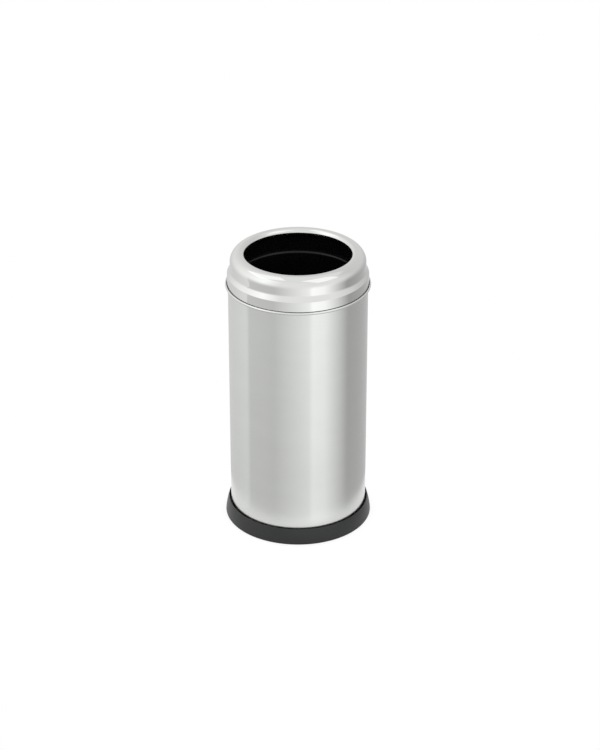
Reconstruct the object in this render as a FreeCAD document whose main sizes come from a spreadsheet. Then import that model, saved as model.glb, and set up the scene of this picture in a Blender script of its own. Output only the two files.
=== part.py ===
import FreeCAD, Part
import math
import os
import re
import Sketcher

# Open-top bin: a rolled steel drum on a moulded base ring, a lift-out bucket with a wire bail, and a
# spun ring lid with a moulded lining. Millimetres, +Z up, origin on the floor at the drum's axis,
# front along -Y.

DRIVING_SIZES = (
    ("drum_radius", "125", "outside radius of the rolled drum"),
    ("drum_sheet", "0.8", "thickness of the drum sheet"),
    ("drum_top", "478", "height of the rolled rim above the floor"),
    ("rim_roll", "2.2", "outside radius of the roll along the rim"),
    ("base_flare", "9.6", "distance by which the base ring stands out from the drum at the floor"),
    ("base_top", "29.8", "height of the base ring's lip"),
    ("base_lip", "1.5", "thickness of the lip"),
    ("base_gap", "2.4", "gap between the lip and the drum"),
    ("base_bulge", "140", "radius of the outward bulge of the base ring's side"),
    ("base_wall", "3.2", "thickness of the base ring's side at the floor"),
    ("base_edge", "0.5", "rounding of the base ring's lip and lower edge"),
    ("seat_height", "10", "height of the ledge that the drum stands on"),
    ("seat_thickness", "3", "thickness of that ledge"),
    ("seat_width", "28", "width of that ledge inside the drum"),
    ("stiffener_count", "12", "number of ribs under the ledge"),
    ("stiffener_angle", "1.1", "angle that one rib under the ledge spans"),
    ("stiffener_lift", "2", "height of the ribs above the floor"),
    ("pad_radius", "7", "radius of a foot pad"),
    ("pad_thickness", "3", "thickness of a foot pad"),
    ("pad_proud", "1", "height by which the pads lift the base ring"),
    ("pad_inset", "17.6", "distance of the pads' centres from the base ring's outside"),
    ("pad_turn", "45", "angle from the side to the first foot pad"),
    ("pad_count", "4", "number of foot pads"),
    ("pad_fit", "0.2", "clearance around a pad in its cup"),
    ("cup_wall", "2", "wall of the cup that holds a pad"),
    ("plate_sheet", "0.8", "thickness of the bottom plate"),
    ("plate_rise", "6", "height of the bottom plate above the ledge"),
    ("plate_bend", "3", "outside radius of the bottom plate's bend"),
    ("plate_fit", "0.1", "clearance between the bottom plate and the drum"),
    ("screw_inset", "21", "distance of the base screws from the drum's outside"),
    ("screw_count", "4", "number of base screws"),
    ("screw_radius", "2", "radius of a base screw's shank"),
    ("screw_length", "9", "length of the shank"),
    ("screw_head_radius", "4", "radius of a base screw's head"),
    ("screw_head_height", "2.4", "height of the head"),
    ("screw_head_round", "1.4", "rounding of the head"),
    ("screw_clearance", "0.25", "clearance around the shank in the bottom plate"),
    ("screw_fit", "0.02", "clearance around the shank in its post"),
    ("post_wall", "3", "wall of the post that a base screw bites into"),
    ("post_floor", "1.5", "depth of post left under a screw's tip"),
    ("bucket_inset", "21", "distance of the bucket's mouth from the drum's outside"),
    ("bucket_taper", "10.2", "distance by which the bucket narrows from mouth to foot"),
    ("bucket_clearance", "5.6", "gap between the base screws and the bucket's underside"),
    ("bucket_wall", "2.2", "thickness of the bucket"),
    ("crest_round", "6", "radius of the crest between the bucket's wall and flange"),
    ("foot_round", "10", "outside radius of the bend at the bucket's foot"),
    ("flange_inset", "1", "distance of the bucket's flange from the drum's outside"),
    ("flange_round", "1", "rounding of the flange's edge"),
    ("rest_gap", "0.3", "play between the bucket's flange and the rim"),
    ("pivot_drop", "26", "depth of the bail's pivots below the flange"),
    ("pivot_fit", "0.05", "clearance around the wire in its pivots"),
    ("boss_radius", "7", "radius of a pivot boss"),
    ("boss_standoff", "3", "gap between the bail's bend and a pivot boss"),
    ("boss_proud", "1.5", "height of a pivot boss outside the bucket's wall"),
    ("shelf_thickness", "4", "thickness of the shelf that the folded bail lies on"),
    ("shelf_reach", "4", "length of that shelf past the wire"),
    ("shelf_angle", "18", "angle that one shelf spans"),
    ("wire_radius", "2", "radius of the bail's wire"),
    ("bail_inset", "10", "distance of the folded bail from the bucket's mouth"),
    ("bail_bend", "5", "radius of the bends at the bail's ends"),
    ("cap_radius", "5", "radius of a bail cap"),
    ("cap_length", "5", "length of a bail cap"),
    ("cap_round", "1.5", "rounding of a bail cap"),
    ("cap_end", "1.5", "thickness of a bail cap's closed end"),
    ("cap_play", "0.4", "play between a bail cap and its pivot boss"),
    ("cap_fit", "0.02", "clearance around the wire in a bail cap"),
    ("grip_radius", "5.5", "radius of the bail's grip"),
    ("grip_angle", "64", "angle of the bail's bow that the grip covers"),
    ("grip_round", "1.2", "rounding of the grip's ends"),
    ("grip_fit", "0.05", "clearance around the wire in the grip"),
    ("lid_sheet", "0.7", "thickness of the lid's sheet"),
    ("skirt_clearance", "0.7", "gap between the drum and the lid's skirt"),
    ("skirt_overlap", "12.7", "depth of the lid's bead below the rim"),
    ("skirt_height", "20.2", "height of the straight skirt above the bead"),
    ("bead_roll", "2.2", "outside radius of the roll along the skirt's edge"),
    ("step_round", "2.5", "radius of the outer bend of the step"),
    ("crease_round", "9", "radius of the inner bend of the step"),
    ("step_width", "5.2", "distance by which the step draws the lid in"),
    ("step_lean", "0.5", "sine of the step's lean"),
    ("dome_height", "29.1", "height of the lid above the step"),
    ("shoulder_round", "18.7", "radius of the lid's shoulder"),
    ("mouth_roll", "7.9", "radius of the roll into the mouth"),
    ("hem_depth", "1", "depth of the straight hem in the mouth"),
    ("lining_wall", "2.2", "thickness of the lid's lining"),
    ("lining_fit", "0.3", "clearance between the lining and the lid's sheet"),
    ("lip_drop", "2", "depth of the lining's lip below the hem"),
    ("cone_height", "10", "height of the lining's cone"),
    ("collar_inset", "0.5", "distance of the lining's collar from the bucket's crest"),
    ("fin_count", "12", "number of fins outside the collar"),
    ("fin_angle", "1", "angle that one fin spans"),
)

# Sizes that follow from the driving ones.
FOLLOWING_SIZES = {
    "base_foot": "pad_proud",
    "base_radius": "drum_radius + base_flare",
    "base_lip_inner": "drum_radius + base_gap",
    "seat_under": "seat_height - seat_thickness",
    "seat_inner": "drum_radius - seat_width",
    "pad_circle": "base_radius - pad_inset",
    "drum_inner": "drum_radius - drum_sheet",
    "roll_radius": "drum_radius - rim_roll",
    "plate_radius": "drum_inner - plate_fit",
    "plate_top": "seat_height + plate_rise",
    "plate_under": "plate_top - plate_sheet",
    "screw_circle": "drum_radius - screw_inset",
    "screw_tip": "plate_top - screw_length",
    "post_radius": "screw_radius + post_wall",
    "post_bottom": "screw_tip - post_floor",
    "bucket_mouth": "drum_radius - bucket_inset",
    "bucket_outer": "bucket_mouth + bucket_wall",
    "bucket_foot": "bucket_outer - bucket_taper",
    "bucket_floor": "plate_top + screw_head_height + bucket_clearance",
    "flange_radius": "drum_radius - flange_inset",
    "flange_under": "drum_top + rest_gap",
    "flange_top": "flange_under + bucket_wall",
    "crest_start": "bucket_mouth + crest_round",
    "neck": "flange_top - crest_round",
    "heel": "bucket_floor + foot_round",
    "pivot_height": "flange_top - pivot_drop",
    "wall_at_pivot": "bucket_outer - bucket_taper * (neck - pivot_height) / (neck - heel)",
    "bail_reach": "bucket_mouth - bail_inset",
    "boss_inner": "bail_reach + boss_standoff",
    "boss_outer": "wall_at_pivot + boss_proud",
    "bow_radius": "bail_reach - bail_bend",
    "shelf_top": "pivot_height - wire_radius - rest_gap",
    "cap_start": "boss_outer + cap_play",
    "cap_tip": "cap_start + cap_length",
    "wire_tip": "cap_tip - cap_end",
    "skirt_radius": "drum_radius + skirt_clearance + lid_sheet",
    "skirt_inner": "drum_radius + skirt_clearance",
    "bead_height": "drum_top - skirt_overlap",
    "bead_radius": "skirt_inner + bead_roll",
    "step_height": "bead_height + skirt_height",
    "step_upright": "(1 - step_lean ^ 2) ^ 0.5",
    "step_slant": "(step_width - (step_round + crease_round) * (1 - step_upright)) / step_lean",
    "step_start": "skirt_radius - step_round * (1 - step_upright)",
    "step_start_height": "step_height + step_round * step_lean",
    "step_end": "step_start - step_slant * step_lean",
    "step_end_height": "step_start_height + step_slant * step_upright",
    "crease_height": "step_end_height + crease_round * step_lean",
    "dome_radius": "skirt_radius - step_width",
    "lid_top": "crease_height + dome_height",
    "shoulder_radius": "dome_radius - shoulder_round",
    "shoulder_height": "lid_top - shoulder_round",
    "mouth_radius": "shoulder_radius - mouth_roll",
    "hem_top": "lid_top - mouth_roll",
    "hem_bottom": "hem_top - hem_depth",
    "lip_radius": "mouth_radius + lid_sheet + lining_fit",
    "lip_bottom": "hem_bottom - lip_drop",
    "cone_bottom": "lip_bottom - cone_height",
    "collar_radius": "crest_start + collar_inset",
}

WORD = re.compile(r"[a-z]\w+")

doc = FreeCAD.newDocument("trash_can")
sizes = doc.addObject("Spreadsheet::Sheet", "sizes")
for row, (alias, value, meaning) in enumerate(DRIVING_SIZES, start=1):
    sizes.set(f"A{row}", meaning)
    sizes.set(f"B{row}", value)
    sizes.setAlias(f"B{row}", alias)
doc.recompute()


def formula(text):
    """Write a length given in words as a formula of the sheet's cells."""

    def spell(match):
        word = match.group()
        if word in FOLLOWING_SIZES:
            return f"({formula(FOLLOWING_SIZES[word])})"
        return f"sizes.{word}"

    return WORD.sub(spell, text)


def worth(text):
    """Present value of a length given in words."""
    return float(sizes.evalExpression(formula(text)))


def new_piece(label):
    """Empty body for one piece of the bin."""
    body = doc.addObject("PartDesign::Body", label)
    body.Label = label
    return body


def origin_part(body, role):
    """Plane or axis of the body's own origin."""
    return next(item for item in body.Origin.OriginFeatures if item.Role == role)


def new_sketch(body, name, role, offset=None, turned=None):
    """Empty sketch on a plane of the body's origin, moved along its normal or turned about its height."""
    sketch = body.newObject("Sketcher::SketchObject", name)
    sketch.AttachmentSupport = (origin_part(body, role), [""])
    sketch.MapMode = "FlatFace"
    if offset:
        sketch.setExpression("AttachmentOffset.Base.z", formula(offset))
    if turned:
        upright = FreeCAD.Rotation(FreeCAD.Vector(0, 1, 0), worth(turned))
        sketch.AttachmentOffset = FreeCAD.Placement(FreeCAD.Vector(), upright)
        sketch.setExpression("AttachmentOffset.Rotation.Angle", formula(turned))
    return sketch


def pin_point(sketch, geometry, end, across, up):
    """Hold a point of the sketch at two lengths from the sketch's origin."""
    for kind, text, own_axis in (("DistanceX", across, -2), ("DistanceY", up, -1)):
        length = worth(text)
        if text == "0":
            sketch.addConstraint(Sketcher.Constraint("PointOnObject", geometry, end, own_axis))
        elif length < 0:
            index = sketch.addConstraint(Sketcher.Constraint(kind, geometry, end, -1, 1, -length))
            sketch.setExpression(f"Constraints[{index}]", formula(f"-({text})"))
        else:
            index = sketch.addConstraint(Sketcher.Constraint(kind, -1, 1, geometry, end, length))
            sketch.setExpression(f"Constraints[{index}]", formula(text))


def arc_between(start, finish, radius, left):
    """Arc shorter than a half turn from start to finish, turning left or right."""
    chord = finish - start
    rise = math.sqrt(max(radius ** 2 - chord.Length ** 2 / 4, 0))
    side = FreeCAD.Vector(-chord.y, chord.x, 0).normalize()
    centre = (start + finish) / 2 + side * (rise if left else -rise)
    first, last = (start, finish) if left else (finish, start)
    begin = math.atan2(first.y - centre.y, first.x - centre.x)
    end = math.atan2(last.y - centre.y, last.x - centre.x)
    if end < begin:
        end += 2 * math.pi
    return Part.ArcOfCircle(Part.Circle(centre, FreeCAD.Vector(0, 0, 1), radius), begin, end)


def draw_outline(sketch, corners, closed=True):
    """Lines and arcs through corners (across, up[, radius, turn]); the radius bends the next stretch."""
    places = [FreeCAD.Vector(worth(corner[0]), worth(corner[1]), 0) for corner in corners]
    stretches = len(corners) if closed else len(corners) - 1
    ends = []
    for index in range(stretches):
        corner = corners[index]
        start = places[index]
        finish = places[(index + 1) % len(corners)]
        if len(corner) == 2:
            geometry = sketch.addGeometry(Part.LineSegment(start, finish))
            ends.append((geometry, 1, 2))
            continue
        left = corner[3] == "left"
        geometry = sketch.addGeometry(arc_between(start, finish, worth(corner[2]), left))
        ends.append((geometry, 1, 2) if left else (geometry, 2, 1))
    for index in range(stretches if closed else stretches - 1):
        here = ends[index]
        there = ends[(index + 1) % stretches]
        sketch.addConstraint(Sketcher.Constraint("Coincident", here[0], here[2], there[0], there[1]))
    for index in range(stretches):
        pin_point(sketch, ends[index][0], ends[index][1], corners[index][0], corners[index][1])
        if len(corners[index]) == 4:
            bend = corners[index][2]
            rule = sketch.addConstraint(Sketcher.Constraint("Radius", ends[index][0], worth(bend)))
            sketch.setExpression(f"Constraints[{rule}]", formula(bend))
    if not closed:
        pin_point(sketch, ends[-1][0], ends[-1][2], corners[-1][0], corners[-1][1])


def draw_circle(sketch, across, up, radius):
    """Circle held by its centre and radius."""
    centre = FreeCAD.Vector(worth(across), worth(up), 0)
    circle = Part.Circle(centre, FreeCAD.Vector(0, 0, 1), worth(radius))
    geometry = sketch.addGeometry(circle)
    pin_point(sketch, geometry, 3, across, up)
    index = sketch.addConstraint(Sketcher.Constraint("Radius", geometry, worth(radius)))
    sketch.setExpression(f"Constraints[{index}]", formula(radius))


def draw_axis(sketch, start, finish):
    """Centre line for a feature turned about its own axis."""
    places = [FreeCAD.Vector(worth(point[0]), worth(point[1]), 0) for point in (start, finish)]
    geometry = sketch.addGeometry(Part.LineSegment(*places), True)
    pin_point(sketch, geometry, 1, *start)
    pin_point(sketch, geometry, 2, *finish)


def turn(sketch, name, axis="V_Axis", angle=None, cut=False):
    """Turn a sketch about an axis, all the way round or evenly to both sides by an angle."""
    body = sketch.getParentGeoFeatureGroup()
    feature = body.newObject("PartDesign::Groove" if cut else "PartDesign::Revolution", name)
    feature.Profile = sketch
    feature.ReferenceAxis = (sketch, [axis])
    feature.Angle = 360
    if angle:
        feature.Midplane = True
        feature.setExpression("Angle", formula(angle))
    return feature


def repeat(features, name, count):
    """Set features out evenly round the bin's axis."""
    body = features[0].getParentGeoFeatureGroup()
    pattern = body.newObject("PartDesign::PolarPattern", name)
    pattern.Originals = features
    pattern.Axis = (origin_part(body, "Z_Axis"), [""])
    pattern.Angle = 360
    pattern.setExpression("Occurrences", formula(count))
    body.Tip = pattern
    return pattern


def round_edges(feature, name, radius, wanted):
    """Round those edges of a feature that a test picks."""
    doc.recompute()
    body = feature.getParentGeoFeatureGroup()
    names = [f"Edge{number}" for number, edge in enumerate(feature.Shape.Edges, start=1) if wanted(edge)]
    rounding = body.newObject("PartDesign::Fillet", name)
    rounding.Base = (feature, names)
    rounding.setExpression("Radius", formula(radius))
    return rounding


def level_edge(edge, height):
    """True for a level edge at a height."""
    box = edge.BoundBox
    return abs(box.ZMin - height) < edge.Tolerance * 10 and abs(box.ZMax - height) < edge.Tolerance * 10


# Drum: one sheet rolled to a tube, its upper edge rolled inwards.
body_shell = new_piece("body_shell")
shell_section = new_sketch(body_shell, "shell_section", "XZ_Plane")
draw_outline(shell_section, (
    ("drum_radius", "seat_height"),
    ("drum_radius", "drum_top - rim_roll", "rim_roll", "left"),
    ("roll_radius", "drum_top", "rim_roll", "left"),
    ("roll_radius - rim_roll", "drum_top - rim_roll", "rim_roll", "left"),
    ("roll_radius", "drum_top - 2 * rim_roll"),
    ("roll_radius", "drum_top - 2 * rim_roll + drum_sheet", "rim_roll - drum_sheet", "right"),
    ("roll_radius - rim_roll + drum_sheet", "drum_top - rim_roll", "rim_roll - drum_sheet", "right"),
    ("roll_radius", "drum_top - drum_sheet", "rim_roll - drum_sheet", "right"),
    ("drum_inner", "drum_top - rim_roll"),
    ("drum_inner", "seat_height"),
))
turn(shell_section, "shell_turned")

# Bottom plate: pressed disc with a turned-down edge that stands on the base ring's ledge.
bottom_plate = new_piece("bottom_plate")
plate_section = new_sketch(bottom_plate, "plate_section", "XZ_Plane")
draw_outline(plate_section, (
    ("0", "plate_under"),
    ("plate_radius - plate_bend", "plate_under", "plate_bend - plate_sheet", "right"),
    ("plate_radius - plate_sheet", "plate_top - plate_bend"),
    ("plate_radius - plate_sheet", "seat_height"),
    ("plate_radius", "seat_height"),
    ("plate_radius", "plate_top - plate_bend", "plate_bend", "left"),
    ("plate_radius - plate_bend", "plate_top"),
    ("0", "plate_top"),
))
turn(plate_section, "plate_turned")
plate_hole_section = new_sketch(bottom_plate, "plate_hole_section", "XZ_Plane")
draw_axis(plate_hole_section, ("screw_circle", "seat_height"), ("screw_circle", "plate_top"))
draw_outline(plate_hole_section, (
    ("screw_circle", "seat_height"),
    ("screw_circle + screw_radius + screw_clearance", "seat_height"),
    ("screw_circle + screw_radius + screw_clearance", "plate_top + plate_sheet"),
    ("screw_circle", "plate_top + plate_sheet"),
))
plate_hole = turn(plate_hole_section, "plate_hole", axis="Axis0", cut=True)
repeat([plate_hole], "plate_holes", "screw_count")

# Base ring: moulded, flared to the floor, with a ledge for the drum, screw posts, pad cups and ribs.
base_ring = new_piece("base_ring")
base_section = new_sketch(base_ring, "base_section", "XZ_Plane")
draw_outline(base_section, (
    ("base_radius", "base_foot", "base_bulge", "left"),
    ("base_lip_inner + base_lip", "base_top"),
    ("base_lip_inner", "base_top"),
    ("base_lip_inner", "seat_height"),
    ("seat_inner", "seat_height"),
    ("seat_inner", "seat_under"),
    ("base_radius - base_wall", "seat_under"),
    ("base_radius - base_wall", "base_foot"),
))
base_turned = turn(base_section, "base_turned")
base_rounded = round_edges(
    base_turned, "base_rounded", "base_edge",
    lambda edge: level_edge(edge, worth("base_top")) or level_edge(edge, worth("base_foot")),
)
stiffener_section = new_sketch(base_ring, "stiffener_section", "XZ_Plane")
draw_outline(stiffener_section, (
    ("seat_inner", "seat_under + seat_thickness / 2"),
    ("seat_inner", "stiffener_lift"),
    ("base_radius - base_wall / 2", "stiffener_lift"),
    ("base_radius - base_wall / 2", "seat_under + seat_thickness / 2"),
))
stiffener = turn(stiffener_section, "stiffener", angle="stiffener_angle")
repeat([stiffener], "stiffeners", "stiffener_count")
cup_section = new_sketch(base_ring, "cup_section", "XZ_Plane", turned="pad_turn")
draw_axis(cup_section, ("pad_circle", "base_foot"), ("pad_circle", "seat_height"))
draw_outline(cup_section, (
    ("pad_circle", "base_foot"),
    ("pad_circle + pad_radius + pad_fit + cup_wall", "base_foot"),
    ("pad_circle + pad_radius + pad_fit + cup_wall", "seat_under + seat_thickness / 2"),
    ("pad_circle", "seat_under + seat_thickness / 2"),
))
cup = turn(cup_section, "cup", axis="Axis0")
pad_recess_section = new_sketch(base_ring, "pad_recess_section", "XZ_Plane", turned="pad_turn")
draw_axis(pad_recess_section, ("pad_circle", "0"), ("pad_circle", "pad_thickness"))
draw_outline(pad_recess_section, (
    ("pad_circle", "0"),
    ("pad_circle + pad_radius + pad_fit", "0"),
    ("pad_circle + pad_radius + pad_fit", "pad_thickness"),
    ("pad_circle", "pad_thickness"),
))
pad_recess = turn(pad_recess_section, "pad_recess", axis="Axis0", cut=True)
repeat([cup, pad_recess], "cups", "pad_count")
post_section = new_sketch(base_ring, "post_section", "XZ_Plane")
draw_axis(post_section, ("screw_circle", "post_bottom"), ("screw_circle", "plate_under"))
draw_outline(post_section, (
    ("screw_circle", "post_bottom"),
    ("screw_circle + post_radius", "post_bottom"),
    ("screw_circle + post_radius", "plate_under"),
    ("screw_circle", "plate_under"),
))
post = turn(post_section, "post", axis="Axis0")
pilot_section = new_sketch(base_ring, "pilot_section", "XZ_Plane")
draw_axis(pilot_section, ("screw_circle", "screw_tip"), ("screw_circle", "plate_top"))
draw_outline(pilot_section, (
    ("screw_circle", "screw_tip"),
    ("screw_circle + screw_radius + screw_fit", "screw_tip"),
    ("screw_circle + screw_radius + screw_fit", "plate_top"),
    ("screw_circle", "plate_top"),
))
pilot = turn(pilot_section, "pilot", axis="Axis0", cut=True)
repeat([post, pilot], "posts", "screw_count")

# Base screws: pan heads on the bottom plate, shanks down into the posts.
base_screws = new_piece("base_screws")
screw_section = new_sketch(base_screws, "screw_section", "XZ_Plane")
draw_axis(screw_section, ("screw_circle", "screw_tip"), ("screw_circle", "plate_top"))
draw_outline(screw_section, (
    ("screw_circle", "screw_tip"),
    ("screw_circle + screw_radius", "screw_tip"),
    ("screw_circle + screw_radius", "plate_top"),
    ("screw_circle + screw_head_radius", "plate_top"),
    ("screw_circle + screw_head_radius", "plate_top + screw_head_height - screw_head_round",
     "screw_head_round", "left"),
    ("screw_circle + screw_head_radius - screw_head_round", "plate_top + screw_head_height"),
    ("screw_circle", "plate_top + screw_head_height"),
))
screw = turn(screw_section, "screw", axis="Axis0")
repeat([screw], "screws", "screw_count")

# Foot pads: rubber discs set in the base ring's cups.
foot_pads = new_piece("foot_pads")
pad_section = new_sketch(foot_pads, "pad_section", "XZ_Plane", turned="pad_turn")
draw_axis(pad_section, ("pad_circle", "0"), ("pad_circle", "pad_thickness"))
draw_outline(pad_section, (
    ("pad_circle", "0"),
    ("pad_circle + pad_radius", "0"),
    ("pad_circle + pad_radius", "pad_thickness"),
    ("pad_circle", "pad_thickness"),
))
pad = turn(pad_section, "pad", axis="Axis0")
repeat([pad], "pads", "pad_count")

# Bucket: moulded and tapered, hung by its flange over the rim, with two shelves and bored bosses
# for the bail.
inner_bucket = new_piece("inner_bucket")
bucket_section = new_sketch(inner_bucket, "bucket_section", "XZ_Plane")
draw_outline(bucket_section, (
    ("0", "bucket_floor"),
    ("bucket_foot - foot_round", "bucket_floor", "foot_round", "left"),
    ("bucket_foot", "heel"),
    ("bucket_outer", "neck", "crest_round - bucket_wall", "right"),
    ("crest_start", "flange_under"),
    ("flange_radius", "flange_under"),
    ("flange_radius", "flange_top - flange_round", "flange_round", "left"),
    ("flange_radius - flange_round", "flange_top"),
    ("crest_start", "flange_top", "crest_round", "left"),
    ("bucket_mouth", "neck"),
    ("bucket_foot - bucket_wall", "heel", "foot_round - bucket_wall", "right"),
    ("bucket_foot - foot_round", "bucket_floor + bucket_wall"),
    ("0", "bucket_floor + bucket_wall"),
))
turn(bucket_section, "bucket_turned")
shelf_section = new_sketch(inner_bucket, "shelf_section", "XZ_Plane")
draw_outline(shelf_section, (
    ("bow_radius - shelf_reach", "shelf_top - shelf_thickness"),
    ("wall_at_pivot - bucket_wall / 2", "shelf_top - shelf_thickness"),
    ("wall_at_pivot - bucket_wall / 2", "shelf_top"),
    ("bow_radius - shelf_reach", "shelf_top"),
))
shelf = turn(shelf_section, "shelf", angle="shelf_angle")
boss_section = new_sketch(inner_bucket, "boss_section", "XZ_Plane")
draw_axis(boss_section, ("boss_inner", "pivot_height"), ("boss_outer", "pivot_height"))
draw_outline(boss_section, (
    ("boss_inner", "pivot_height"),
    ("boss_outer", "pivot_height"),
    ("boss_outer", "pivot_height + boss_radius"),
    ("boss_inner", "pivot_height + boss_radius"),
))
boss = turn(boss_section, "boss", axis="Axis0")
bore_section = new_sketch(inner_bucket, "bore_section", "XZ_Plane")
draw_axis(bore_section, ("bow_radius", "pivot_height"), ("cap_tip", "pivot_height"))
draw_outline(bore_section, (
    ("bow_radius", "pivot_height"),
    ("cap_tip", "pivot_height"),
    ("cap_tip", "pivot_height + wire_radius + pivot_fit"),
    ("bow_radius", "pivot_height + wire_radius + pivot_fit"),
))
bore = turn(bore_section, "bore", axis="Axis0", cut=True)
repeat([shelf, boss, bore], "pivots", "2")

# Bail: one wire, bowed to the front when folded, its ends bent out through the pivot bosses.
bail_wire = new_piece("bail_wire")
wire_path = new_sketch(bail_wire, "wire_path", "XY_Plane", offset="pivot_height")
draw_outline(wire_path, (
    ("-wire_tip", "0"),
    ("-bail_reach", "0", "bail_bend", "right"),
    ("-bow_radius", "-bail_bend", "bow_radius", "left"),
    ("0", "-bail_reach", "bow_radius", "left"),
    ("bow_radius", "-bail_bend", "bail_bend", "right"),
    ("bail_reach", "0"),
    ("wire_tip", "0"),
), closed=False)
wire_section = new_sketch(bail_wire, "wire_section", "YZ_Plane", offset="-wire_tip")
draw_circle(wire_section, "0", "pivot_height", "wire_radius")
doc.recompute()
wire = bail_wire.newObject("PartDesign::AdditivePipe", "wire")
wire.Profile = wire_section
wire.Spine = (wire_path, [f"Edge{number}" for number in range(1, len(wire_path.Shape.Edges) + 1)])

# Bail caps: closed caps pushed on the wire's ends outside the bucket.
bail_caps = new_piece("bail_caps")
cap_section = new_sketch(bail_caps, "cap_section", "XZ_Plane")
draw_axis(cap_section, ("cap_start", "pivot_height"), ("cap_tip", "pivot_height"))
draw_outline(cap_section, (
    ("wire_tip", "pivot_height"),
    ("cap_tip", "pivot_height"),
    ("cap_tip", "pivot_height + cap_radius - cap_round", "cap_round", "left"),
    ("cap_tip - cap_round", "pivot_height + cap_radius"),
    ("cap_start", "pivot_height + cap_radius"),
    ("cap_start", "pivot_height + wire_radius + cap_fit"),
    ("wire_tip", "pivot_height + wire_radius + cap_fit"),
))
cap = turn(cap_section, "cap", axis="Axis0")
repeat([cap], "caps", "2")

# Grip: moulded tube round the middle of the bail's bow.
bail_grip = new_piece("bail_grip")
grip_section = new_sketch(bail_grip, "grip_section", "YZ_Plane")
draw_axis(grip_section, ("-bail_bend", "0"), ("-bail_bend", "pivot_height"))
draw_circle(grip_section, "-bail_reach", "pivot_height", "grip_radius")
draw_circle(grip_section, "-bail_reach", "pivot_height", "wire_radius + grip_fit")
grip = turn(grip_section, "grip", axis="Axis0", angle="grip_angle")
round_edges(
    grip, "grip_rounded", "grip_round",
    lambda edge: abs(edge.Length - 2 * math.pi * worth("grip_radius")) < worth("grip_fit"),
)

# Lid cover: spun sheet with a hemmed mouth, a round shoulder, a leaning step and a skirt with a rolled
# bead.
lid_cover = new_piece("lid_cover")
cover_section = new_sketch(lid_cover, "cover_section", "XZ_Plane")
draw_outline(cover_section, (
    ("skirt_radius", "bead_height"),
    ("skirt_radius", "step_height", "step_round", "left"),
    ("step_start", "step_start_height"),
    ("step_end", "step_end_height", "crease_round", "right"),
    ("dome_radius", "crease_height"),
    ("dome_radius", "shoulder_height", "shoulder_round", "left"),
    ("shoulder_radius", "lid_top", "mouth_roll", "left"),
    ("mouth_radius", "hem_top"),
    ("mouth_radius", "hem_bottom"),
    ("mouth_radius + lid_sheet", "hem_bottom"),
    ("mouth_radius + lid_sheet", "hem_top", "mouth_roll - lid_sheet", "right"),
    ("shoulder_radius", "lid_top - lid_sheet", "shoulder_round - lid_sheet", "right"),
    ("dome_radius - lid_sheet", "shoulder_height"),
    ("dome_radius - lid_sheet", "crease_height", "crease_round + lid_sheet", "left"),
    ("step_end - lid_sheet * step_upright", "step_end_height - lid_sheet * step_lean"),
    ("step_start - lid_sheet * step_upright", "step_start_height - lid_sheet * step_lean",
     "step_round - lid_sheet", "right"),
    ("skirt_inner", "step_height"),
    ("skirt_inner", "bead_height", "bead_roll", "left"),
    ("bead_radius", "bead_height - bead_roll", "bead_roll", "left"),
    ("bead_radius + bead_roll", "bead_height", "bead_roll", "left"),
    ("bead_radius", "bead_height + bead_roll"),
    ("bead_radius", "bead_height + bead_roll - lid_sheet", "bead_roll - lid_sheet", "right"),
    ("bead_radius + bead_roll - lid_sheet", "bead_height", "bead_roll - lid_sheet", "right"),
    ("bead_radius", "bead_height - bead_roll + lid_sheet", "bead_roll - lid_sheet", "right"),
))
turn(cover_section, "cover_turned")

# Lid lining: moulded ring behind the hem, coned out to a collar that stands on the bucket's flange;
# fins keep the cover's dome centred on it.
lid_lining = new_piece("lid_lining")
lining_section = new_sketch(lid_lining, "lining_section", "XZ_Plane")
draw_outline(lining_section, (
    ("lip_radius", "hem_top"),
    ("lip_radius", "lip_bottom"),
    ("collar_radius", "cone_bottom"),
    ("collar_radius", "flange_top"),
    ("collar_radius + lining_wall", "flange_top"),
    ("collar_radius + lining_wall", "cone_bottom + lining_wall / 2"),
    ("lip_radius + lining_wall", "lip_bottom + lining_wall / 2"),
    ("lip_radius + lining_wall", "hem_top"),
))
turn(lining_section, "lining_turned")
fin_section = new_sketch(lid_lining, "fin_section", "XZ_Plane")
draw_outline(fin_section, (
    ("collar_radius + lining_wall / 2", "step_height"),
    ("dome_radius - lid_sheet - lining_fit", "step_height"),
    ("dome_radius - lid_sheet - lining_fit", "cone_bottom + lining_wall / 2"),
    ("collar_radius + lining_wall / 2", "cone_bottom + lining_wall / 2"),
))
fin = turn(fin_section, "fin", angle="fin_angle")
repeat([fin], "fins", "fin_count")

doc.recompute()

PIECES = (
    body_shell, bottom_plate, base_ring, base_screws, foot_pads, inner_bucket,
    bail_wire, bail_caps, bail_grip, lid_cover, lid_lining,
)
for item in doc.Objects:
    if "Invalid" in item.State or "Error" in item.State:
        raise RuntimeError(f"{item.Label} did not build: {item.State}")
os.makedirs("parts", exist_ok=True)
for piece in PIECES:
    if piece.Shape.isNull() or not piece.Shape.isValid():
        raise RuntimeError(f"{piece.Label} has no valid shape")
    piece.Shape.exportStep(f"parts/{piece.Label}.step")
    print(piece.Label, len(piece.Shape.Solids), round(piece.Shape.Volume), piece.Shape.BoundBox)
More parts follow.
